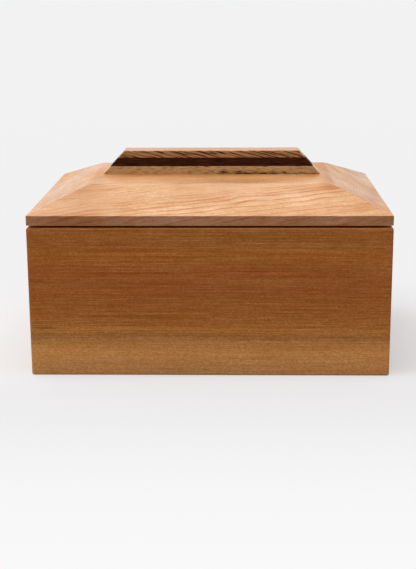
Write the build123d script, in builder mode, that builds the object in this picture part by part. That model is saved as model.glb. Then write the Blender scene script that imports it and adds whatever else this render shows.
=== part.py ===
from build123d import *
import os
from math import sqrt

# A wooden keepsake box: a mitred body of four boards round a grooved-in bottom, a bevelled
# lid that lifts straight off, and a bar handle laminated from three strips of wood.
# Millimetres. The origin is under the middle of the box, on the table, with the front at -Y.

# Body
box_width = 280.0
box_depth = 208.0
body_height = 117.8
wall = 12.0
arris_round = 1.8

# Bottom panel, which floats in a groove cut round the inside of the body
bottom_thickness = 6.0
bottom_lift = 6.0
groove_depth = 5.0
groove_fit = 0.15
panel_clearance = 0.4

# Loose tongues glued across the four mitres, in slots that stop short of the groove and the rim
spline_thickness = 3.0
spline_cover = 2.0
spline_stop = 12.0
spline_fit = 0.1

# Lid: a board a little smaller than the body, with four equal bevels and a shadow line relieved
# round its underside
lid_inset = 0.3
lid_edge = 7.6
lid_rise = 17.3
bevel_run = 43.2
shadow_gap = 1.7
shadow_depth = 7.0
lid_arris_round = 0.6
plateau_round = 30.0

# Lip: a mitred frame under the lid that drops inside the body and keeps the lid in place
lip_thickness = 6.0
lip_height = 8.0
lip_clearance = 0.6
lip_lead = 1.5

# Handle: three strips glued face to face, with sloping ends
handle_base_length = 180.8
handle_top_length = 144.4
handle_thickness = 20.0
base_strip_height = 6.7
core_strip_height = 7.2
cap_strip_height = 5.6
handle_round = 0.6

# Two countersunk slotted screws, driven up through the lid into the handle
screw_spacing = 100.0
screw_diameter = 4.0
screw_head_diameter = 8.0
screw_bite = 13.0
screw_tip = 4.0
screw_hole_fit = 0.25
pilot_fit = 0.05
slot_width = 1.0
slot_depth = 0.9
head_recess = 0.3

# Levels and inside sizes worked out from the driving sizes
inner_width = box_width - 2 * wall
inner_depth = box_depth - 2 * wall
lid_width = box_width - 2 * lid_inset
lid_depth = box_depth - 2 * lid_inset
seat_z = body_height
lid_foot_z = seat_z + shadow_gap
lid_arris_z = lid_foot_z + lid_edge
plateau_z = lid_arris_z + lid_rise
handle_height = base_strip_height + core_strip_height + cap_strip_height
handle_top_z = plateau_z + handle_height

SIDES = ("front", "right", "back", "left")

os.makedirs("parts", exist_ok=True)


def save(builder, name):
    """Labels a finished piece and writes it as a STEP file of the same name."""
    builder.part.label = name
    export_step(builder.part, f"parts/{name}.step")


def corners(width, depth):
    """The corners of a centred rectangle, anticlockwise from the front left."""
    x, y = width / 2, depth / 2
    return [(-x, -y), (x, -y), (x, y), (-x, y)]


def mitred_plan(side, width, depth, thickness):
    """Outline of one side of a mitred frame, cut at 45 degrees at both ends."""
    outer = corners(width, depth)
    inner = corners(width - 2 * thickness, depth - 2 * thickness)
    start = SIDES.index(side)
    end = (start + 1) % len(SIDES)
    return [outer[start], outer[end], inner[end], inner[start]]


# Body ring: the four boards as one glued-up frame, with eased outside arrises, the bottom
# panel's groove and the slots for the tongues. The boards are then cut from it.
groove_height = bottom_thickness + groove_fit
half_diagonal = wall / sqrt(2)
spline_reach = half_diagonal - spline_thickness / 2 - spline_cover
spline_foot_z = bottom_lift + groove_height + spline_stop
spline_length = body_height - spline_stop - spline_foot_z
corner_names = ("front_left", "front_right", "back_right", "back_left")
corner_places = [
    Location((x, y, spline_foot_z), (0, 0, 45 if x * y > 0 else -45))
    for x, y in corners(box_width - wall, box_depth - wall)
]
BASE = (Align.CENTER, Align.CENTER, Align.MIN)

with BuildPart() as body_ring:
    with BuildSketch():
        Rectangle(box_width, box_depth)
    extrude(amount=body_height)
    fillet(body_ring.edges(), radius=arris_round)
    with BuildSketch():
        Rectangle(inner_width, inner_depth)
    extrude(amount=body_height, mode=Mode.SUBTRACT)
    with BuildSketch(Plane.XY.offset(bottom_lift)):
        Rectangle(inner_width + 2 * groove_depth, inner_depth + 2 * groove_depth)
    extrude(amount=groove_height, mode=Mode.SUBTRACT)
    with Locations(*corner_places):
        Box(
            spline_thickness + 2 * spline_fit,
            2 * (spline_reach + spline_fit),
            spline_length + spline_fit,
            align=BASE,
            mode=Mode.SUBTRACT,
        )

# Side boards
for side in SIDES:
    with BuildPart() as board:
        add(body_ring.part)
        with BuildSketch():
            Polygon(*mitred_plan(side, box_width, box_depth, wall), align=None)
        extrude(amount=body_height, mode=Mode.INTERSECT)
    save(board, f"{side}_board")

# Tongues in the mitres, standing on the stopped ends of their slots
for corner_name, place in zip(corner_names, corner_places):
    with BuildPart() as spline:
        with Locations(place):
            Box(spline_thickness, 2 * spline_reach, spline_length, align=BASE)
    save(spline, f"corner_spline_{corner_name}")

# Bottom panel, lying on the groove's lower wall with room to move at its edges
panel_reach = groove_depth - panel_clearance
with BuildPart() as bottom_panel:
    with BuildSketch(Plane.XY.offset(bottom_lift)):
        Rectangle(inner_width + 2 * panel_reach, inner_depth + 2 * panel_reach)
    extrude(amount=bottom_thickness)
save(bottom_panel, "bottom_panel")

# Lid board: the bevelled board, with a soft edge round its flat top and eased arrises below, then
# the pad under it that rests on the rim
screw_places = [-screw_spacing / 2, screw_spacing / 2]
with BuildPart() as lid_board:
    with BuildSketch(Plane.XY.offset(lid_foot_z)):
        Rectangle(lid_width, lid_depth)
    extrude(amount=lid_edge)
    with BuildSketch(Plane.XY.offset(lid_arris_z)):
        Rectangle(lid_width, lid_depth)
    with BuildSketch(Plane.XY.offset(plateau_z)):
        Rectangle(lid_width - 2 * bevel_run, lid_depth - 2 * bevel_run)
    loft()
    plateau_edges = lid_board.faces().sort_by(Axis.Z)[-1].edges()
    fillet(plateau_edges, radius=plateau_round)
    lower_edges = lid_board.edges().filter_by_position(Axis.Z, lid_foot_z, lid_arris_z)
    fillet(lower_edges, radius=lid_arris_round)
    with BuildSketch(Plane.XY.offset(seat_z)):
        Rectangle(box_width - 2 * shadow_depth, box_depth - 2 * shadow_depth)
    extrude(amount=shadow_gap)
    with Locations(*[Plane(origin=(x, 0, seat_z), z_dir=(0, 0, -1)) for x in screw_places]):
        CounterSinkHole(
            radius=screw_diameter / 2 + screw_hole_fit,
            counter_sink_radius=screw_head_diameter / 2 + screw_hole_fit + head_recess,
            counter_sink_angle=90,
        )
save(lid_board, "lid_board")

# Lip frame under the lid, with its lower outside arris sloped to lead the lid in
lip_width = inner_width - 2 * lip_clearance
lip_depth = inner_depth - 2 * lip_clearance
lip_foot_z = seat_z - lip_height
with BuildPart() as lip_frame:
    with BuildSketch(Plane.XY.offset(lip_foot_z)):
        Rectangle(lip_width, lip_depth)
    extrude(amount=lip_height)
    chamfer(lip_frame.faces().sort_by(Axis.Z)[0].edges(), length=lip_lead)
    with BuildSketch(Plane.XY.offset(lip_foot_z)):
        Rectangle(lip_width - 2 * lip_thickness, lip_depth - 2 * lip_thickness)
    extrude(amount=lip_height, mode=Mode.SUBTRACT)

for side in SIDES:
    with BuildPart() as lip:
        add(lip_frame.part)
        with BuildSketch(Plane.XY.offset(lip_foot_z)):
            Polygon(*mitred_plan(side, lip_width, lip_depth, lip_thickness), align=None)
        extrude(amount=lip_height, mode=Mode.INTERSECT)
    save(lip, f"lid_lip_{side}")

# Handle bar: one trapezium from the front, eased where a hand meets it, with pilot holes.
# The three strips are then cut from it.
half_base = handle_base_length / 2
half_top = handle_top_length / 2
with BuildPart() as handle_bar:
    with BuildSketch(Plane.XZ):
        with BuildLine():
            Polyline(
                (-half_base, plateau_z),
                (half_base, plateau_z),
                (half_top, handle_top_z),
                (-half_top, handle_top_z),
                close=True,
            )
        make_face()
    extrude(amount=handle_thickness / 2, both=True)
    foot_edges = handle_bar.faces().sort_by(Axis.Z)[0].edges()
    fillet([edge for edge in handle_bar.edges() if edge not in foot_edges], radius=handle_round)
    with Locations(*[Plane(origin=(x, 0, plateau_z), z_dir=(0, 0, -1)) for x in screw_places]):
        Hole(radius=screw_diameter / 2 + pilot_fit, depth=screw_bite + pilot_fit)

strip_z = plateau_z
strips = (
    ("handle_base_strip", base_strip_height),
    ("handle_core_strip", core_strip_height),
    ("handle_cap_strip", cap_strip_height),
)
for strip_name, strip_height in strips:
    with BuildPart() as strip:
        add(handle_bar.part)
        with BuildSketch(Plane.XY.offset(strip_z)):
            Rectangle(handle_base_length, handle_thickness)
        extrude(amount=strip_height, mode=Mode.INTERSECT)
    save(strip, strip_name)
    strip_z += strip_height

# Screws, with their heads just below the lid's underside
head_z = seat_z + head_recess
neck_z = head_z + (screw_head_diameter - screw_diameter) / 2
point_z = plateau_z + screw_bite
for screw_side, x in zip(("left", "right"), screw_places):
    with BuildPart() as screw:
        with BuildSketch(Plane.XZ.move(Location((x, 0, 0)))):
            with BuildLine():
                Polyline(
                    (0, head_z),
                    (screw_head_diameter / 2, head_z),
                    (screw_diameter / 2, neck_z),
                    (screw_diameter / 2, point_z - screw_tip),
                    (0, point_z),
                    close=True,
                )
            make_face()
        revolve(axis=Axis((x, 0, 0), (0, 0, 1)))
        with Locations((x, 0, head_z)):
            Box(screw_head_diameter, slot_width, slot_depth, align=BASE, mode=Mode.SUBTRACT)
    save(screw, f"handle_screw_{screw_side}")
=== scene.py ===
from math import pi, radians

import bpy
from mathutils import Matrix, Vector


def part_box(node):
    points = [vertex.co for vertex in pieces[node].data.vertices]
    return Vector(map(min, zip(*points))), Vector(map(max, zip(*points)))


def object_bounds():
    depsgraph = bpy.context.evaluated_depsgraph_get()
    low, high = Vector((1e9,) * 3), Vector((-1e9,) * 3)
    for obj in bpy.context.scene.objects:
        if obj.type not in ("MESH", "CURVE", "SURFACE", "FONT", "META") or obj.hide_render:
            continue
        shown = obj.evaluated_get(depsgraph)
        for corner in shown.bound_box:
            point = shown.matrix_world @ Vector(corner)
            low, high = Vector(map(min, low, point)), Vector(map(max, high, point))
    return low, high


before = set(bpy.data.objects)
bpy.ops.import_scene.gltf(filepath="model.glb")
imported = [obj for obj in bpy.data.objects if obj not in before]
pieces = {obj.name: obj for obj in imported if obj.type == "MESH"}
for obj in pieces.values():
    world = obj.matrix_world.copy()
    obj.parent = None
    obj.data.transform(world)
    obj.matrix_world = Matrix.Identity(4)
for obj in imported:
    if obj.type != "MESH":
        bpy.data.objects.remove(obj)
cad_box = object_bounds()
bpy.ops.object.select_all(action="DESELECT")


# Side boards: four boards of red cedar, cut one after another from one plank and mitred, so the grain runs
# on round the corners. They are planed and wiped with oil. Straight rings show as fine brown lines, and
# low on the boards, near the heart of the tree, the wood is golden and speckled with short flecks.
MILLIMETRE = 0.001
WOOD_IOR = 1.5
OIL_TINT = "#5a3a20"
DEEPENING = (0.6, 1.0, 1.75)
GRAIN_ROUGHNESS = 0.08
MATT_END = 0.8
WIPED_LENGTH, WIPED_ROUGHNESS = 55, 0.4
SANDING_LENGTH, SANDING_DEPTH = 16, 0.6
FLAT, ROUNDED = 0.9, 0.75
ARRIS_HIGHLIGHT_AND_WEAR = "#565656"


def linear(colour):
    """A colour written as sRGB hex, turned to the linear values that shaders take."""
    shares = [int(colour[i:i + 2], 16) / 255 for i in (1, 3, 5)]
    return [s / 12.92 if s <= 0.04045 else ((s + 0.055) / 1.055) ** 2.4 for s in shares] + [1.0]


def node(tree, kind, inputs, output=0, stops=(), **settings):
    """Adds a node with its settings, colour stops, and input values or links, and gives one output."""
    made = tree.nodes.new("ShaderNode" + kind)
    for name, value in settings.items():
        setattr(made, name, value)
    for stop in stops[2:]:
        made.color_ramp.elements.new(0.5)
    for number, (place, colour) in enumerate(stops):
        made.color_ramp.elements[number].position = place
        made.color_ramp.elements[number].color = linear(colour)
    sockets = {socket.identifier: socket for socket in made.inputs}
    for name, value in inputs.items():
        if isinstance(value, bpy.types.NodeSocket):
            tree.links.new(value, sockets[name])
        else:
            sockets[name].default_value = value
    return made.outputs[output]


def sawn(name, heart, turn=(0, 0, 0)):
    """A new wood, its node tree, a board's own coordinates in millimetres, with X along the grain, and
    which way its surface faces in them. The tree's heart lies on that axis, through the given place."""
    wood = bpy.data.materials.new(name)
    wood.use_nodes = True
    tree = wood.node_tree
    place = node(tree, "TexCoord", {}, "Object")
    board = node(tree, "Mapping", {
        "Vector": place,
        "Location": heart,
        "Rotation": turn,
        "Scale": (MILLIMETRE,) * 3,
    }, vector_type="TEXTURE")
    outward = node(tree, "TexCoord", {}, "Normal")
    facing = node(tree, "Mapping", {"Vector": outward, "Rotation": turn}, vector_type="TEXTURE")
    facing = node(tree, "VectorMath", {"Vector": facing}, operation="ABSOLUTE")
    return wood, tree, board, facing


def growth(tree, board, sway, reach):
    """Distance from the heart in millimetres, in a trunk that sways so far aside over that reach."""
    drawn = node(tree, "VectorMath", {
        "Vector": board,
        "Vector_001": (1 / reach, 2 / reach, 2 / reach),
    }, operation="MULTIPLY")
    # Noise mostly keeps within a quarter of 0.5, so four times the sway moves the heart about that far.
    bend = node(tree, "TexNoise", {"Vector": drawn, "Scale": 1.0, "Detail": 1.0}, "Color")
    aside = node(tree, "VectorMath", {
        "Vector": bend,
        "Vector_001": (0, 4 * sway, 4 * sway),
        "Vector_002": (0, -2 * sway, -2 * sway),
    }, operation="MULTIPLY_ADD")
    bent = node(tree, "VectorMath", {"Vector": board, "Vector_001": aside}, operation="ADD")
    across = node(tree, "VectorMath", {"Vector": bent, "Vector_001": (0, 1, 1)}, operation="MULTIPLY")
    return node(tree, "VectorMath", {"Vector": across}, "Value", operation="LENGTH")


def figure(tree, board, size, detail=1.0):
    """The wood's figure, from 0 to 1: soft streaks along the grain, so long and wide in millimetres."""
    length, width = size
    drawn = node(tree, "VectorMath", {
        "Vector": board,
        "Vector_001": (1 / length, 1 / width, 1 / width),
    }, operation="MULTIPLY")
    return node(tree, "TexNoise", {"Vector": drawn, "Scale": 1.0, "Detail": detail})


def streaked(tree, colour, board, size, strength, share=1.0):
    """A colour lightened and darkened by streaks so long and wide in millimetres, where share is 1 and
    less where it is lower, and the streaks themselves. Dark wood is a deeper colour too: most of the
    blue light goes, less of the green and least of the red."""
    streaks = figure(tree, board, size)
    shade = node(tree, "MapRange", {
        "Value": streaks,
        "From Min": 0.2,
        "From Max": 0.8,
        "To Min": 1 - strength,
        "To Max": 1 + strength,
    })
    shade = node(tree, "VectorMath", {"Vector": shade, "Vector_001": DEEPENING}, operation="POWER")
    colour = node(tree, "MixRGB", {"Fac": share, "Color1": colour, "Color2": shade}, blend_type="MULTIPLY")
    return colour, streaks


def oiled(tree, board, facing, colour, relief, roughness, depth, end_roughness=MATT_END):
    """Links a wood's colour and its open grain, so deep in millimetres, to its shader. It was sanded by
    hand, so it isn't quite flat, and the oil takes up its colour, so its shine is dim but for glancing
    light. It was wiped on, so some patches shine more. End grain soaks it up and is rougher by so much,
    and the rounded arrises are painted a little paler, partly as wear and partly as a painted highlight."""
    shader = tree.nodes["Principled BSDF"]
    shader.inputs["IOR"].default_value = WOOD_IOR
    shader.inputs["Specular Tint"].default_value = linear(OIL_TINT)
    rough = node(tree, "MapRange", {
        "Value": relief,
        "From Min": 0.3,
        "From Max": 0.7,
        "To Min": roughness + GRAIN_ROUGHNESS,
        "To Max": roughness - GRAIN_ROUGHNESS,
    })
    end_on = node(tree, "SeparateXYZ", {"Vector": facing}, "X")
    open_pores = node(tree, "Math", {"Value": end_on, "Value_001": end_on}, operation="MULTIPLY")
    rough = node(tree, "Math", {
        "Value": open_pores,
        "Value_001": end_roughness,
        "Value_002": rough,
    }, operation="MULTIPLY_ADD")
    wiped = node(tree, "TexNoise", {"Vector": board, "Scale": 1 / WIPED_LENGTH, "Detail": 0.0})
    wiped = node(tree, "Math", {"Value": wiped, "Value_001": 0.5}, operation="SUBTRACT")
    rough = node(tree, "Math", {
        "Value": wiped,
        "Value_001": WIPED_ROUGHNESS,
        "Value_002": rough,
    }, operation="MULTIPLY_ADD")
    waves = node(tree, "TexNoise", {"Vector": board, "Scale": 1 / SANDING_LENGTH, "Detail": 0.0})
    uneven = node(tree, "Bump", {"Height": waves, "Strength": 1.0, "Distance": SANDING_DEPTH * MILLIMETRE})
    bump = node(tree, "Bump", {
        "Height": relief,
        "Strength": 0.5,
        "Distance": depth * MILLIMETRE,
        "Normal": uneven,
    })
    outward = node(tree, "TexCoord", {}, "Normal")
    outward = node(tree, "VectorMath", {"Vector": outward}, operation="ABSOLUTE")
    sides = node(tree, "SeparateXYZ", {"Vector": outward}).node.outputs
    squareness = node(tree, "Math", {"Value": sides["X"], "Value_001": sides["Y"]}, operation="MAXIMUM")
    squareness = node(tree, "Math", {"Value": squareness, "Value_001": sides["Z"]}, operation="MAXIMUM")
    arris = node(tree, "MapRange", {"Value": squareness, "From Min": FLAT, "From Max": ROUNDED})
    # Painted highlight along the rounded arrises, with a little wear: they are lightened.
    colour = node(tree, "MixRGB", {
        "Fac": arris,
        "Color1": colour,
        "Color2": linear(ARRIS_HIGHLIGHT_AND_WEAR),
    }, blend_type="DODGE")
    tree.links.new(colour, shader.inputs["Base Color"])
    tree.links.new(rough, shader.inputs["Roughness"])
    tree.links.new(bump, shader.inputs["Normal"])


def coat(name, finish):
    """Gives a piece its finish, in place of the plain one that it was packed with."""
    pieces[name].data.materials.clear()
    pieces[name].data.materials.append(finish)


# The cedar's figure, in millimetres along and across the grain, and out from the heart. Real fibres are
# finer: here and in the other woods they are drawn about a millimetre wide, so that they show.
CEDAR_SWAY, CEDAR_REACH = 1.5, 220
CEDAR_MOTTLE, MOTTLE_SHIFT = (4, 1.6), 6
OLDEST, YOUNGEST = 37, 137
SPECKLED_TO, LINED_FROM = 48, 66
CEDAR_TONE = (90, 9)
CEDAR_LINE = (120, 1.0)
CEDAR_FIBRE = (14, 0.9)
CEDAR_BAND = (70, 22)
CEDAR_FLECK = (1.6, 0.9)
RESIN, RESIN_LENGTH, RESIN_WIDTH = "#5a3216", 14, 1.2


def red_cedar(name, heart, turn, resin):
    """Red cedar, planed and oiled, its colour by the distance from the heart, with one short dark line
    of resin at a place in the board's coordinates."""
    wood, tree, board, facing = sawn(name, heart, turn)
    radius = growth(tree, board, CEDAR_SWAY, CEDAR_REACH)
    mottle = figure(tree, board, CEDAR_MOTTLE)
    patchy = node(tree, "Math", {
        "Value": mottle,
        "Value_001": MOTTLE_SHIFT,
        "Value_002": radius,
    }, operation="MULTIPLY_ADD")
    age = node(tree, "MapRange", {"Value": patchy, "From Min": OLDEST, "From Max": YOUNGEST})
    colour = node(tree, "ValToRGB", {"Fac": age}, stops=[
        (0.00, "#d29559"),
        (0.06, "#dd9859"),
        (0.10, "#e09b59"),
        (0.13, "#dd9856"),
        (0.155, "#d0904f"),
        (0.189, "#cb884e"),
        (0.209, "#bc7945"),
        (0.226, "#b3743f"),
        (0.243, "#c68143"),
        (0.264, "#c8803f"),
        (0.29, "#bd773d"),
        (0.35, "#b77038"),
        (0.50, "#b06732"),
        (0.70, "#b16934"),
        (0.80, "#b86e35"),
        (0.95, "#af6b35"),
    ])
    tones = figure(tree, board, CEDAR_TONE)
    tint = node(tree, "ValToRGB", {"Fac": tones}, stops=[(0.3, "#fffbfb"), (0.7, "#fafffe")])
    colour = node(tree, "MixRGB", {"Fac": 1.0, "Color1": colour, "Color2": tint}, blend_type="MULTIPLY")
    outer = node(tree, "MapRange", {
        "Value": radius,
        "From Min": SPECKLED_TO,
        "From Max": LINED_FROM,
        "To Min": 0.5,
    })
    colour, lines = streaked(tree, colour, board, CEDAR_LINE, strength=0.34, share=outer)
    colour, fibres = streaked(tree, colour, board, CEDAR_FIBRE, strength=0.22, share=outer)
    colour = streaked(tree, colour, board, CEDAR_BAND, strength=0.08)[0]
    colour = streaked(tree, colour, board, CEDAR_FLECK, strength=0.30)[0]
    off = node(tree, "VectorMath", {"Vector": board, "Vector_001": resin}, operation="SUBTRACT")
    off = node(tree, "VectorMath", {
        "Vector": off,
        "Vector_001": (1 / RESIN_LENGTH, 0, 1 / RESIN_WIDTH),
    }, operation="MULTIPLY")
    off = node(tree, "VectorMath", {"Vector": off}, "Value", operation="LENGTH")
    stain = node(tree, "MapRange", {"Value": off, "From Min": 0.2, "To Min": 0.6, "To Max": 0.0})
    colour = node(tree, "MixRGB", {"Fac": stain, "Color1": colour, "Color2": linear(RESIN)})
    relief = node(tree, "Math", {"Value": lines, "Value_001": fibres}, operation="ADD")
    relief = node(tree, "Math", {"Value": relief, "Value_001": 0.5}, operation="MULTIPLY")
    oiled(tree, board, facing, colour, relief, roughness=0.5, depth=0.15)
    return wood


# Round a corner, the plank runs on from the middle of one board to the middle of the next.
QUARTER_TURNS = {"front": 0, "right": 90, "back": 180, "left": 270}
BOARD_TO_BOARD = (cad_box[1].x - cad_box[0].x + cad_box[1].y - cad_box[0].y) / 2
HEART_BEHIND_FACE = 0.030
HEART_BELOW_BOX = 0.015
RESIN_LINES = {"front": (-127, 0, 53.7), "right": (250, 0, 78), "back": (560, 0, 44), "left": (770, 0, 96)}
for number, (side, degrees) in enumerate(QUARTER_TURNS.items()):
    low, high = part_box(f"{side}_board")
    turned = Matrix.Rotation(radians(degrees), 3, "Z")
    outward = turned @ Vector((0, -1, 0))
    grain = turned @ Vector((1, 0, 0))
    face = max(low.dot(outward), high.dot(outward))
    heart = outward * (face - HEART_BEHIND_FACE) - grain * number * BOARD_TO_BOARD
    heart.z = -HEART_BELOW_BOX
    turn = (0, 0, radians(degrees))
    coat(f"{side}_board", red_cedar(f"oiled_red_cedar_{side}", heart, turn, RESIN_LINES[side]))


# Bottom panel: a sheet of birch plywood, sanded and left bare, loose in its groove. Its pale veneer was
# peeled round the log, so broad soft waves run along it among fine short pores.
PLYWOOD_HEART = (0, 0, -0.4)
PLYWOOD_SWAY, PLYWOOD_REACH = 6, 120
PLYWOOD_WAVE = 1.6
PLYWOOD_FIBRE = (30, 0.8)


def birch_plywood():
    """Sanded birch plywood."""
    wood, tree, board, facing = sawn("sanded_birch_plywood", PLYWOOD_HEART)
    radius = growth(tree, board, PLYWOOD_SWAY, PLYWOOD_REACH)
    years = node(tree, "Math", {"Value": radius, "Value_001": 1 / PLYWOOD_WAVE}, operation="MULTIPLY")
    waves = node(tree, "TexNoise", {"W": years, "Scale": 1.0, "Detail": 2.0}, noise_dimensions="1D")
    colour = node(tree, "ValToRGB", {"Fac": waves}, stops=[(0.3, "#d9b88c"), (0.7, "#e6cba4")])
    colour, fibres = streaked(tree, colour, board, PLYWOOD_FIBRE, strength=0.10)
    oiled(tree, board, facing, colour, fibres, roughness=0.65, depth=0.08)
    return wood


coat("bottom_panel", birch_plywood())


# Splines: tongues of beech, sawn from a strip and glued into the slots in the mitres, out of sight. The
# sawn faces are matt, with the short dark ray flecks of beech.
BEECH_HEART = (0, 0, -0.1)
BEECH_CLOUD = 5
BEECH_FLECK = (3, 0.5)


def sawn_beech():
    """Sawn beech."""
    wood, tree, board, facing = sawn("sawn_beech", BEECH_HEART)
    clouds = node(tree, "TexNoise", {"Vector": board, "Scale": 1 / BEECH_CLOUD})
    colour = node(tree, "ValToRGB", {"Fac": clouds}, stops=[(0.3, "#cfa57c"), (0.7, "#dcb78f")])
    colour, flecks = streaked(tree, colour, board, BEECH_FLECK, strength=0.15)
    oiled(tree, board, facing, colour, flecks, roughness=0.7, depth=0.1)
    return wood


beech = sawn_beech()
for corner in ("front_left", "front_right", "back_right", "back_left"):
    coat(f"corner_spline_{corner}", beech)


# Lid: one thick board of cherry with a satin oil finish, sawn a little askew, so thin red-brown ring lines
# rise to the right along the front slope and the edge. The bevels at the ends cut across the grain: there
# it has drunk more oil, in blotches. The upright sawn edge is darker, partly its own tone and partly
# painted shade. Painted shade before and behind the handle stands for the handle's shadow and reflection.
lid_low, lid_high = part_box("lid_board")
LID_FOOT = lid_low.z
LID_HALF_WIDTH, LID_HALF_DEPTH = lid_high.x, lid_high.y
CREST, BELOW_CREST = 0.58, 0.72
FLAT_TILT, BEVEL_TILT = 0.23, 0.31
UNCHANGED, OFF_CREST = "#ffffff", "#f4f4f4"


def painted_shade_and_tone(tree, colour):
    """A colour with painted shade before and behind the handle's foot, standing for the handle's shadow and
    its dark reflection, and paler along the crest of the slopes. Towards its ends the flat top is deeper
    again, most of all on the right, and that ends at the edge of the bevels. The corners of the slopes
    are a little deeper, and the bevels are browner further down. Places are shares of the lid's size."""
    place = node(tree, "TexCoord", {}, "Object")
    along = node(tree, "SeparateXYZ", {"Vector": place}, "X")
    along = node(tree, "MapRange", {
        "Value": along,
        "From Min": -LID_HALF_WIDTH,
        "From Max": LID_HALF_WIDTH,
    })
    place = node(tree, "VectorMath", {"Vector": place}, operation="ABSOLUTE")
    sides = node(tree, "SeparateXYZ", {"Vector": place}).node.outputs
    aside = node(tree, "Math", {
        "Value": sides["X"],
        "Value_001": 1 / LID_HALF_WIDTH,
    }, operation="MULTIPLY")
    forward = node(tree, "Math", {
        "Value": sides["Y"],
        "Value_001": 1 / LID_HALF_DEPTH,
    }, operation="MULTIPLY")
    outward = node(tree, "TexCoord", {}, "Normal")
    outward = node(tree, "VectorMath", {"Vector": outward}, operation="ABSOLUTE")
    tilt = node(tree, "SeparateXYZ", {"Vector": outward}).node.outputs
    inside = node(tree, "MapRange", {"Value": tilt["X"], "From Min": BEVEL_TILT, "From Max": FLAT_TILT})
    above = node(tree, "MapRange", {"Value": forward, "From Min": BELOW_CREST, "From Max": CREST})
    flat_top = node(tree, "Math", {"Value": inside, "Value_001": above}, operation="MULTIPLY")
    slopes = node(tree, "Math", {"Value": inside, "Value_001": flat_top}, operation="SUBTRACT")
    slopes = node(tree, "Math", {"Value": slopes, "Value_001": tilt["Z"]}, operation="MULTIPLY")
    bevels = node(tree, "MapRange", {"Value": tilt["X"], "From Min": FLAT_TILT, "From Max": BEVEL_TILT})
    middle = node(tree, "MapRange", {
        "Value": aside,
        "From Min": 0.55,
        "From Max": 0.70,
        "To Min": 1.0,
        "To Max": 0.0,
    })
    # Painted shade before and behind the handle's foot, for its shadow and dark reflection, and paler along
    # the crest.
    handle_shade_and_crest = node(tree, "ValToRGB", {"Fac": forward}, stops=[
        (0.10, "#d9d9d9"),
        (0.42, "#eeeeee"),
        (0.60, UNCHANGED),
        (0.70, UNCHANGED),
        (0.84, OFF_CREST),
    ])
    ends = node(tree, "ValToRGB", {"Fac": along}, stops=[
        (0.165, "#e4e4e4"),
        (0.22, UNCHANGED),
        (0.78, UNCHANGED),
        (0.835, "#d9cabc"),
    ])
    corners = node(tree, "ValToRGB", {"Fac": along}, stops=[
        (0.15, "#f0f0f0"),
        (0.225, UNCHANGED),
        (0.775, UNCHANGED),
        (0.85, "#f8f8f8"),
    ])
    downward = node(tree, "ValToRGB", {"Fac": aside}, stops=[(0.69, UNCHANGED), (1.0, "#faeee2")])
    shade = node(tree, "MixRGB", {"Fac": middle, "Color1": linear(OFF_CREST), "Color2": handle_shade_and_crest})
    for share, tone in ((flat_top, ends), (slopes, corners), (bevels, downward)):
        shade = node(tree, "MixRGB", {"Fac": share, "Color1": shade, "Color2": tone}, blend_type="MULTIPLY")
    shade = node(tree, "VectorMath", {"Vector": shade, "Vector_001": DEEPENING}, operation="POWER")
    return node(tree, "MixRGB", {"Fac": 1.0, "Color1": colour, "Color2": shade}, blend_type="MULTIPLY")


# The cherry's figure, in millimetres along and across the grain
CHERRY_SWAY, CHERRY_REACH = 2.5, 45
YEAR_RING, YEAR_CHANGE = 6.5, 1.4
CHERRY_CLOUD = (60, 30)
RING_PATCH = (20, 8)
CHERRY_FIBRE = (24, 1.0)
CHERRY_FLECK = (2.5, 0.9)
CHERRY_BLOTCH = (6, 28)
EVEN_CHERRY = "#e2b186"
SAWN_EDGE_AND_SHADE = "#d4c4c6"
END_SHADE, END_DEEPENING = 0.68, (1.08, 1.4, 1.95)
POLISHED_END = 0.0


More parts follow.
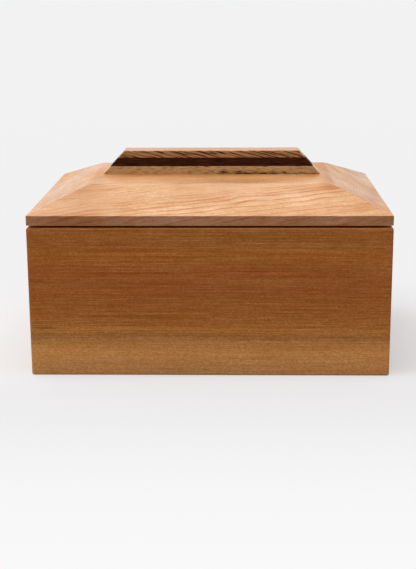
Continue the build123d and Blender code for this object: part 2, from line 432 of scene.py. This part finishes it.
def cherry(name, heart, turn=(0, 0, 0), painted_shading=None):
    """Cherry with a satin oil finish, with the painted shade and tones of a given function added to its
    colour, where one is given.
    """
    wood, tree, board, facing = sawn(name, heart, turn)
    end_on = node(tree, "SeparateXYZ", {"Vector": facing}, "X")
    outward = node(tree, "TexCoord", {}, "Normal")
    level = node(tree, "SeparateXYZ", {"Vector": outward}, "Z")
    level = node(tree, "Math", {"Value": level}, operation="ABSOLUTE")
    edge = node(tree, "MapRange", {
        "Value": level,
        "From Min": 0.25,
        "From Max": 0.75,
        "To Min": 1.0,
        "To Max": 0.0,
    })
    blotchy = node(tree, "MapRange", {"Value": end_on, "From Min": 0.15, "From Max": 0.3})
    side_grain = node(tree, "MapRange", {"Value": end_on, "From Max": 0.36, "To Min": 1.0, "To Max": 0.35})

    radius = growth(tree, board, CHERRY_SWAY, CHERRY_REACH)
    years = node(tree, "Math", {"Value": radius, "Value_001": 1 / YEAR_RING}, operation="MULTIPLY")
    pace = node(tree, "TexNoise", {"W": years, "Scale": 0.9, "Detail": 0.0}, noise_dimensions="1D")
    years = node(tree, "Math", {
        "Value": pace,
        "Value_001": YEAR_CHANGE,
        "Value_002": years,
    }, operation="MULTIPLY_ADD")
    year = node(tree, "Math", {"Value": years}, operation="FRACT")
    rings = node(tree, "ValToRGB", {"Fac": year}, stops=[
        (0.00, "#e0bc85"),
        (0.06, "#fcf6ef"),
        (0.40, "#ffffff"),
        (0.48, "#f1dcbf"),
        (0.56, "#fdfaf5"),
        (0.82, "#faeedf"),
        (0.93, "#d8ab64"),
    ])
    clouds = figure(tree, board, CHERRY_CLOUD, detail=2.0)
    colour = node(tree, "ValToRGB", {"Fac": clouds}, stops=[(0.35, "#d9a373"), (0.65, "#ebbe98")])
    colour = node(tree, "MixRGB", {"Fac": blotchy, "Color1": colour, "Color2": linear(EVEN_CHERRY)})
    patches = figure(tree, board, RING_PATCH, detail=0.0)
    plain = node(tree, "MapRange", {"Value": patches, "From Min": 0.3, "From Max": 0.65, "To Min": 0.5})
    plain = node(tree, "Math", {"Value": plain, "Value_001": side_grain}, operation="MULTIPLY")
    planed = node(tree, "MapRange", {"Value": edge, "To Min": 1.0, "To Max": 0.7})
    plain = node(tree, "Math", {"Value": plain, "Value_001": planed}, operation="MULTIPLY")
    colour = node(tree, "MixRGB", {"Fac": plain, "Color1": colour, "Color2": rings}, blend_type="MULTIPLY")
    colour, fibres = streaked(tree, colour, board, CHERRY_FIBRE, strength=0.26, share=side_grain)
    colour, flecks = streaked(tree, colour, board, CHERRY_FLECK, strength=0.20)
    soaked = node(tree, "MapRange", {"Value": end_on, "To Min": 1.0, "To Max": END_SHADE})
    soaked = node(tree, "VectorMath", {"Vector": soaked, "Vector_001": END_DEEPENING}, operation="POWER")
    colour = node(tree, "MixRGB", {"Fac": 1.0, "Color1": colour, "Color2": soaked}, blend_type="MULTIPLY")
    colour = streaked(tree, colour, board, CHERRY_BLOTCH, strength=0.36, share=blotchy)[0]
    # Upright faces are darker: partly the sawn edge's own tone, partly painted shade for the little light
    # they get.
    colour = node(tree, "MixRGB", {
        "Fac": edge,
        "Color1": colour,
        "Color2": linear(SAWN_EDGE_AND_SHADE),
    }, blend_type="MULTIPLY")
    # Painted shade and tones, where a function for them is given.
    if painted_shading:
        colour = painted_shading(tree, colour)
    relief = node(tree, "Math", {"Value": flecks, "Value_001": fibres}, operation="ADD")
    relief = node(tree, "Math", {"Value": relief, "Value_001": 0.5}, operation="MULTIPLY")
    oiled(tree, board, facing, colour, relief, roughness=0.34, depth=0.03, end_roughness=POLISHED_END)
    return wood


LID_HEART = (0.54, -0.081, LID_FOOT + 0.026)
LID_GRAIN = (0, radians(-7.4), radians(6.8))
# The lid gets painted shade before and behind the handle, for the handle's shadow and reflection.
coat("lid_board", cherry("satin_oiled_cherry", LID_HEART, LID_GRAIN, painted_shade_and_tone))


# Lip: four strips of the same cherry, mitred and glued under the lid, with a sloped outer arris that
# leads the lid into the box.
LIP_HEART = (0.02, 0.01, LID_FOOT - 0.05)
for side, degrees in QUARTER_TURNS.items():
    coat(f"lid_lip_{side}", cherry(f"oiled_cherry_{side}_lip", LIP_HEART, (0, 0, radians(degrees))))


# Handle: three strips glued into one bar and sawn to a slope at the ends, which were polished. The base is
# a golden hardwood with short dark dashes, the core is a nearly black one, and the cap is striped with
# slanting vessel lines. Its top has a golden painted tone for how light and sheen fall on it, with long
# faint lines.
HANDLED_END = 0.1
TOP_LIGHT_TONE = "#d69c68"
TOP_LINE = (45, 1.0, 1.0)
LAYER = 3.0
# Blender's waves repeat in this length at a scale of 1.
WAVE_UNIT = pi / 10
CROWD_REACH, CROWD_END, CROWD_HEIGHT = 40, 64, 3.0
LINE_START, LINE_FULL, SHARE_SHIFT = 0.56, 0.72, 0.2
RIM = 5.0
STRIPED_FIBRE = (6, 0.9)
BASE_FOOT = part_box("handle_base_strip")[0].z
CAP_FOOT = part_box("handle_cap_strip")[0].z
HANDLE_HALF_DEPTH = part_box("handle_cap_strip")[1].y


def striped_hardwood(name, heart, turn, pale, dark, vessel, share, crowding, layering):
    """Brown hardwood with a satin oil finish and dark vessel lines, so long and wide in millimetres, that
    take up about that share of it and follow its layers. Near the heart's place along the strip they
    crowd together low down. They run over the rim of its top, and long faint lines lie on the top."""
    wood, tree, board, facing = sawn(name, heart, turn)
    vessels = figure(tree, board, vessel)
    lengthways = node(tree, "SeparateXYZ", {"Vector": board}, "X")
    lengthways = node(tree, "Math", {"Value": lengthways}, operation="ABSOLUTE")
    middle = node(tree, "MapRange", {
        "Value": lengthways,
        "From Min": CROWD_REACH,
        "From Max": CROWD_END,
        "To Min": crowding,
        "To Max": 0.0,
    })
    height = node(tree, "SeparateXYZ", {"Vector": board}, "Z")
    crowd = node(tree, "MapRange", {
        "Value": height,
        "From Max": CROWD_HEIGHT,
        "To Min": middle,
        "To Max": 0.0,
    })
    crowded = node(tree, "Math", {"Value": vessels, "Value_001": crowd}, operation="ADD")
    layers = node(tree, "TexWave", {
        "Vector": board,
        "Scale": WAVE_UNIT / LAYER,
        "Distortion": 3.0,
        "Detail": 1.0,
        "Detail Scale": 1.0,
    }, "Fac", bands_direction="Z")
    layers = node(tree, "Math", {"Value": layers, "Value_001": 0.5}, operation="SUBTRACT")
    crowded = node(tree, "Math", {
        "Value": layers,
        "Value_001": layering,
        "Value_002": crowded,
    }, operation="MULTIPLY_ADD")
    line = node(tree, "MapRange", {
        "Value": crowded,
        "From Min": LINE_START - SHARE_SHIFT * share,
        "From Max": LINE_FULL - SHARE_SHIFT * share,
    })
    place = node(tree, "TexCoord", {}, "Object")
    outward = node(tree, "TexCoord", {}, "Normal")
    level = node(tree, "SeparateXYZ", {"Vector": outward}, "Z")
    upright = node(tree, "MapRange", {"Value": level, "From Min": 0.7, "From Max": 0.4})
    aside = node(tree, "SeparateXYZ", {"Vector": place}, "Y")
    aside = node(tree, "Math", {"Value": aside}, operation="ABSOLUTE")
    rim = node(tree, "MapRange", {
        "Value": aside,
        "From Min": HANDLE_HALF_DEPTH - RIM * MILLIMETRE,
        "From Max": HANDLE_HALF_DEPTH - RIM / 3 * MILLIMETRE,
        "To Max": 0.75,
    })
    upright = node(tree, "Math", {"Value": upright, "Value_001": rim}, operation="MAXIMUM")
    line = node(tree, "Math", {"Value": line, "Value_001": upright}, operation="MULTIPLY")
    top = node(tree, "MapRange", {"Value": level, "From Min": 0.7, "From Max": 0.95})
    drawn = node(tree, "VectorMath", {
        "Vector": place,
        "Vector_001": [1 / (size * MILLIMETRE) for size in TOP_LINE],
    }, operation="MULTIPLY")
    long_lines = node(tree, "TexNoise", {"Vector": drawn, "Scale": 1.0, "Detail": 1.0})
    long_lines = node(tree, "MapRange", {
        "Value": long_lines,
        "From Min": 0.4,
        "From Max": 0.7,
        "To Max": 0.45,
    })
    line = node(tree, "Math", {
        "Value": long_lines,
        "Value_001": top,
        "Value_002": line,
    }, operation="MULTIPLY_ADD")
    # The top faces get their own golden tone, a painted tone for how light and sheen fall on them.
    ground = node(tree, "MixRGB", {"Fac": top, "Color1": linear(pale), "Color2": linear(TOP_LIGHT_TONE)})
    colour = node(tree, "MixRGB", {"Fac": line, "Color1": ground, "Color2": linear(dark)})
    colour, fibres = streaked(tree, colour, board, STRIPED_FIBRE, strength=0.18)
    oiled(tree, board, facing, colour, fibres, roughness=0.35, depth=0.1, end_roughness=HANDLED_END)
    return wood


coat("handle_base_strip", striped_hardwood(
    "oiled_golden_hardwood",
    heart=(0.055, 0.004, BASE_FOOT),
    turn=(0, radians(2), 0),
    pale="#dbb581",
    dark="#5c3715",
    vessel=(7, 0.5),
    share=0.08,
    crowding=0.21,
    layering=0.0,
))
coat("handle_cap_strip", striped_hardwood(
    "oiled_striped_hardwood",
    heart=(0.037, 0.002, CAP_FOOT),
    turn=(0, radians(15), 0),
    pale="#be9167",
    dark="#582c14",
    vessel=(16, 0.65),
    share=0.5,
    crowding=0.0,
    layering=0.14,
))

DARK_LINE = (12, 1 / 1.1)
DARK_FIBRE = (4, 1.0)


def dark_hardwood():
    """Nearly black hardwood with a satin oil finish and thin reddish lines along the grain."""
    wood, tree, board, facing = sawn("oiled_dark_hardwood", (0, 0, CAP_FOOT))
    lines = figure(tree, board, DARK_LINE, detail=2.0)
    colour = node(tree, "ValToRGB", {"Fac": lines}, stops=[(0.3, "#240d05"), (0.7, "#502e21")])
    colour, fibres = streaked(tree, colour, board, DARK_FIBRE, strength=0.25)
    oiled(tree, board, facing, colour, fibres, roughness=0.5, depth=0.1, end_roughness=HANDLED_END)
    return wood


coat("handle_core_strip", dark_hardwood())


# Screws: two slotted brass wood screws, countersunk into the lid from below. They were turned on a lathe,
# so faint rings go round the heads, and handling has dulled the brass in patches.
TARNISH_PATCH = 2.5
TOOL_MARK, TOOL_MARK_DEPTH = 1 / 6, 0.03
DULL, BRIGHT = 0.35, 0.65


def turned_brass(name, axis):
    """Turned brass, dulled in patches, with tool marks about the screw's own axis."""
    brass = bpy.data.materials.new(name)
    brass.use_nodes = True
    tree = brass.node_tree
    place = node(tree, "TexCoord", {}, "Object")
    screw = node(tree, "Mapping", {
        "Vector": place,
        "Location": axis,
        "Scale": (MILLIMETRE,) * 3,
    }, vector_type="TEXTURE")
    across = node(tree, "VectorMath", {"Vector": screw, "Vector_001": (1, 1, 0)}, operation="MULTIPLY")
    radius = node(tree, "VectorMath", {"Vector": across}, "Value", operation="LENGTH")
    marks = node(tree, "TexNoise", {
        "W": radius,
        "Scale": 1 / TOOL_MARK,
        "Detail": 2.0,
    }, noise_dimensions="1D")
    tarnish = node(tree, "TexNoise", {"Vector": screw, "Scale": 1 / TARNISH_PATCH, "Detail": 3.0})
    colour = node(tree, "ValToRGB", {"Fac": tarnish}, stops=[(DULL, "#8d6a34"), (BRIGHT, "#d2a658")])
    rough = node(tree, "MapRange", {
        "Value": tarnish,
        "From Min": DULL,
        "From Max": BRIGHT,
        "To Min": 0.5,
        "To Max": 0.28,
    })
    bump = node(tree, "Bump", {
        "Height": marks,
        "Strength": 0.4,
        "Distance": TOOL_MARK_DEPTH * MILLIMETRE,
    })
    shader = tree.nodes["Principled BSDF"]
    shader.inputs["Metallic"].default_value = 1.0
    tree.links.new(colour, shader.inputs["Base Color"])
    tree.links.new(rough, shader.inputs["Roughness"])
    tree.links.new(bump, shader.inputs["Normal"])
    return brass


for side in ("left", "right"):
    low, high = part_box(f"handle_screw_{side}")
    coat(f"handle_screw_{side}", turned_brass(f"turned_brass_{side}", (low + high) / 2))


# Floor and background: one pale seamless sheet of paper. It takes the box's soft shadow, and further off
# it fades into the pale grey of the room, so no horizon shows. Its glow also holds painted light and
# shade: brightest towards the front, with a broad painted shadow just before the box, and more glow
# before the box than beside it paints the real shadow there lighter.
BACKGROUND = "#f2f2f3"
PAPER_SEEN, PAPER_LIGHT = 0.74, 0.5
# More glow before the box than beside it paints the box's real shadow lighter there.
GLOW_BESIDE, GLOW_BEFORE = 0.42, 0.75
FADE_START, FADE_END = 0.6, 2.5
FRONT_EDGE, BOX_FRONT = -0.40, cad_box[0].y
GLOW_EDGE = 0.02
FLOOR_RADIUS = 8.0


def seen(tree):
    """1 for rays that show a thing to the eye, straight, mirrored or through glass, and 0 for the rest."""
    path = node(tree, "LightPath", {}).node
    mirrored = node(tree, "Math", {
        "Value": path.outputs["Is Camera Ray"],
        "Value_001": path.outputs["Is Glossy Ray"],
    }, operation="MAXIMUM")
    return node(tree, "Math", {
        "Value": mirrored,
        "Value_001": path.outputs["Is Transmission Ray"],
    }, operation="MAXIMUM")


bpy.ops.mesh.primitive_circle_add(vertices=96, radius=FLOOR_RADIUS, fill_type="NGON")
floor = bpy.context.object
floor.name = "floor"
paper = bpy.data.materials.new("white_paper")
paper.use_nodes = True
tree = paper.node_tree
tree.nodes.remove(tree.nodes["Principled BSDF"])
place = node(tree, "TexCoord", {}, "Object")
away = node(tree, "VectorMath", {"Vector": place}, "Value", operation="LENGTH")
depth = node(tree, "SeparateXYZ", {"Vector": place}, "Y")
sight = seen(tree)
shade = node(tree, "MapRange", {"Value": sight, "To Min": PAPER_LIGHT, "To Max": PAPER_SEEN})
lit = node(tree, "BsdfDiffuse", {"Color": shade})
fade = node(tree, "MapRange", {
    "Value": away,
    "From Min": FADE_START,
    "From Max": FADE_END,
}, interpolation_type="SMOOTHSTEP")
nearness = node(tree, "MapRange", {"Value": depth, "From Min": FRONT_EDGE, "From Max": BOX_FRONT})
nearness = node(tree, "Math", {"Value": nearness, "Value_001": fade}, operation="MAXIMUM")
# Painted light and shade on the glow: palest towards the front, a broad painted shadow before the box.
painted_floor_light = node(tree, "ValToRGB", {"Fac": nearness}, stops=[
    (0.0, "#fbfbfb"),
    (0.25, "#f9f9f9"),
    (0.65, "#eeeeef"),
    (0.85, "#efedee"),
    (1.0, BACKGROUND),
])
glow = node(tree, "Emission", {"Color": painted_floor_light})
near = node(tree, "MapRange", {
    "Value": depth,
    "From Min": BOX_FRONT - GLOW_EDGE,
    "From Max": BOX_FRONT + GLOW_EDGE,
    "To Min": GLOW_BEFORE,
    "To Max": GLOW_BESIDE,
})
share = node(tree, "Math", {"Value": fade, "Value_001": near}, operation="MAXIMUM")
share = node(tree, "Math", {"Value": share, "Value_001": sight}, operation="MULTIPLY")
sheet = node(tree, "MixShader", {"Fac": share, "Shader": lit, "Shader_001": glow})
tree.links.new(sheet, tree.nodes["Material Output"].inputs["Surface"])
floor.data.materials.append(paper)


# Light: one very large soft lamp overhead, a little to the left, in a dim white room. The room looks
# white to the eye but gives little light of its own, so the lamp shapes the box.
LAMP_HEIGHT = 2
LAMP_LEFT = 14
LAMP_ANGLE = 85
LAMP_STRENGTH = 3.5
ROOM_LIGHT = 0.12

bpy.ops.object.light_add(type="SUN", location=(0, 0, LAMP_HEIGHT))
lamp = bpy.context.object
lamp.name = "overhead_softbox"
lamp.data.energy = LAMP_STRENGTH
lamp.data.angle = radians(LAMP_ANGLE)
lamp.rotation_euler = (0, radians(-LAMP_LEFT), 0)

world = bpy.data.worlds.new("white_room")
bpy.context.scene.world = world
world.use_nodes = True
tree = world.node_tree
room = node(tree, "MapRange", {"Value": seen(tree), "To Min": ROOM_LIGHT, "To Max": 1.0})
backdrop = tree.nodes["Background"]
backdrop.inputs["Color"].default_value = linear(BACKGROUND)
tree.links.new(room, backdrop.inputs["Strength"])


# Camera: a short telephoto a little above the lid, just right of the middle and turned back to the box.
# Its place is in metres and its turns are in degrees.
CAMERA_PLACE = (0.021516, -0.975798, 0.295379)
CAMERA_DOWN, CAMERA_LEFT, CAMERA_ROLL = 14.2648, 1.4837, -0.3117
CAMERA_LENS = 74.095

bpy.ops.object.camera_add()
camera = bpy.context.object
camera.data.lens = CAMERA_LENS
camera.matrix_world = (
    Matrix.Translation(CAMERA_PLACE)
    @ Matrix.Rotation(radians(CAMERA_LEFT), 4, "Z")
    @ Matrix.Rotation(radians(90 - CAMERA_DOWN), 4, "X")
    @ Matrix.Rotation(radians(CAMERA_ROLL), 4, "Z")
)
bpy.context.scene.camera = camera
bpy.context.scene.view_settings.view_transform = "Standard"
